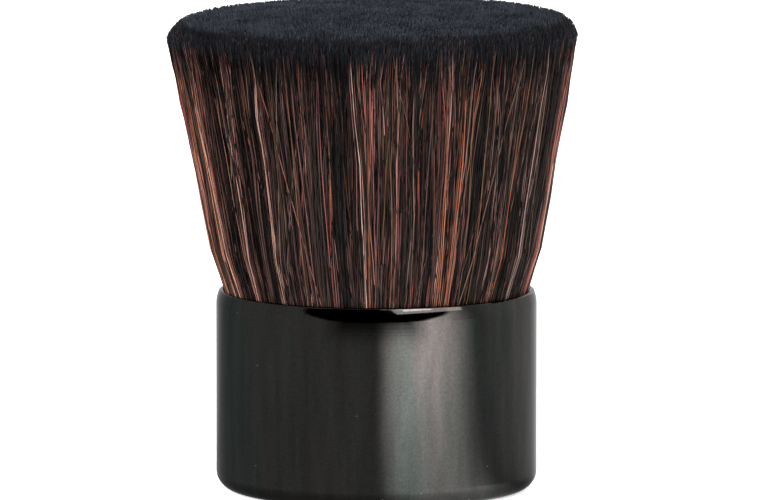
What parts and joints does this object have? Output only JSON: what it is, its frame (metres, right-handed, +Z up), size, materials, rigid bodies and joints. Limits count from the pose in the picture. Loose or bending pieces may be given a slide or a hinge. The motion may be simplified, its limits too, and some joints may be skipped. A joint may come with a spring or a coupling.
{
  "type": "kabuki makeup brush",
  "caption": "Short flat-topped make-up brush: a flared knot of black and copper synthetic filaments set in a round dark anodised metal cup, for dusting and buffing powder.",
  "frame": {"origin": "centre of the flat base of the handle cup", "axes": "+Z up the axis of the cup, towards the head; +Y away from the picture's camera, +X to its right"},
  "size_m": [0.0506, 0.0506, 0.0604],
  "materials": {
    "anodised_aluminium": "dark anodised, polished, with a soft sheen",
    "adhesive_foam": "matt grey foam",
    "zinc_plated_steel": "bright zinc plate",
    "liner_plastic": "natural moulded plastic, satin",
    "glue": "set contact glue, satin",
    "root_resin": "amber epoxy, glossy",
    "waxed_twine": "waxed cotton twine",
    "black_filament": "fine black synthetic filament, tips ground soft",
    "two_tone_filament": "fine black and copper-brown synthetic filament with black tips"
  },
  "bodies": {
    "root": {"handle_cup": "anodised_aluminium", "weight_pad": "adhesive_foam", "base_weight": "zinc_plated_steel", "liner_cup": "liner_plastic", "liner_glue": "glue", "spreader_peg": "liner_plastic", "resin_plug": "root_resin", "binding_twine": "waxed_twine", "core_bristles": "black_filament", "outer_bristles": "two_tone_filament"}
  },
  "joints": []
}
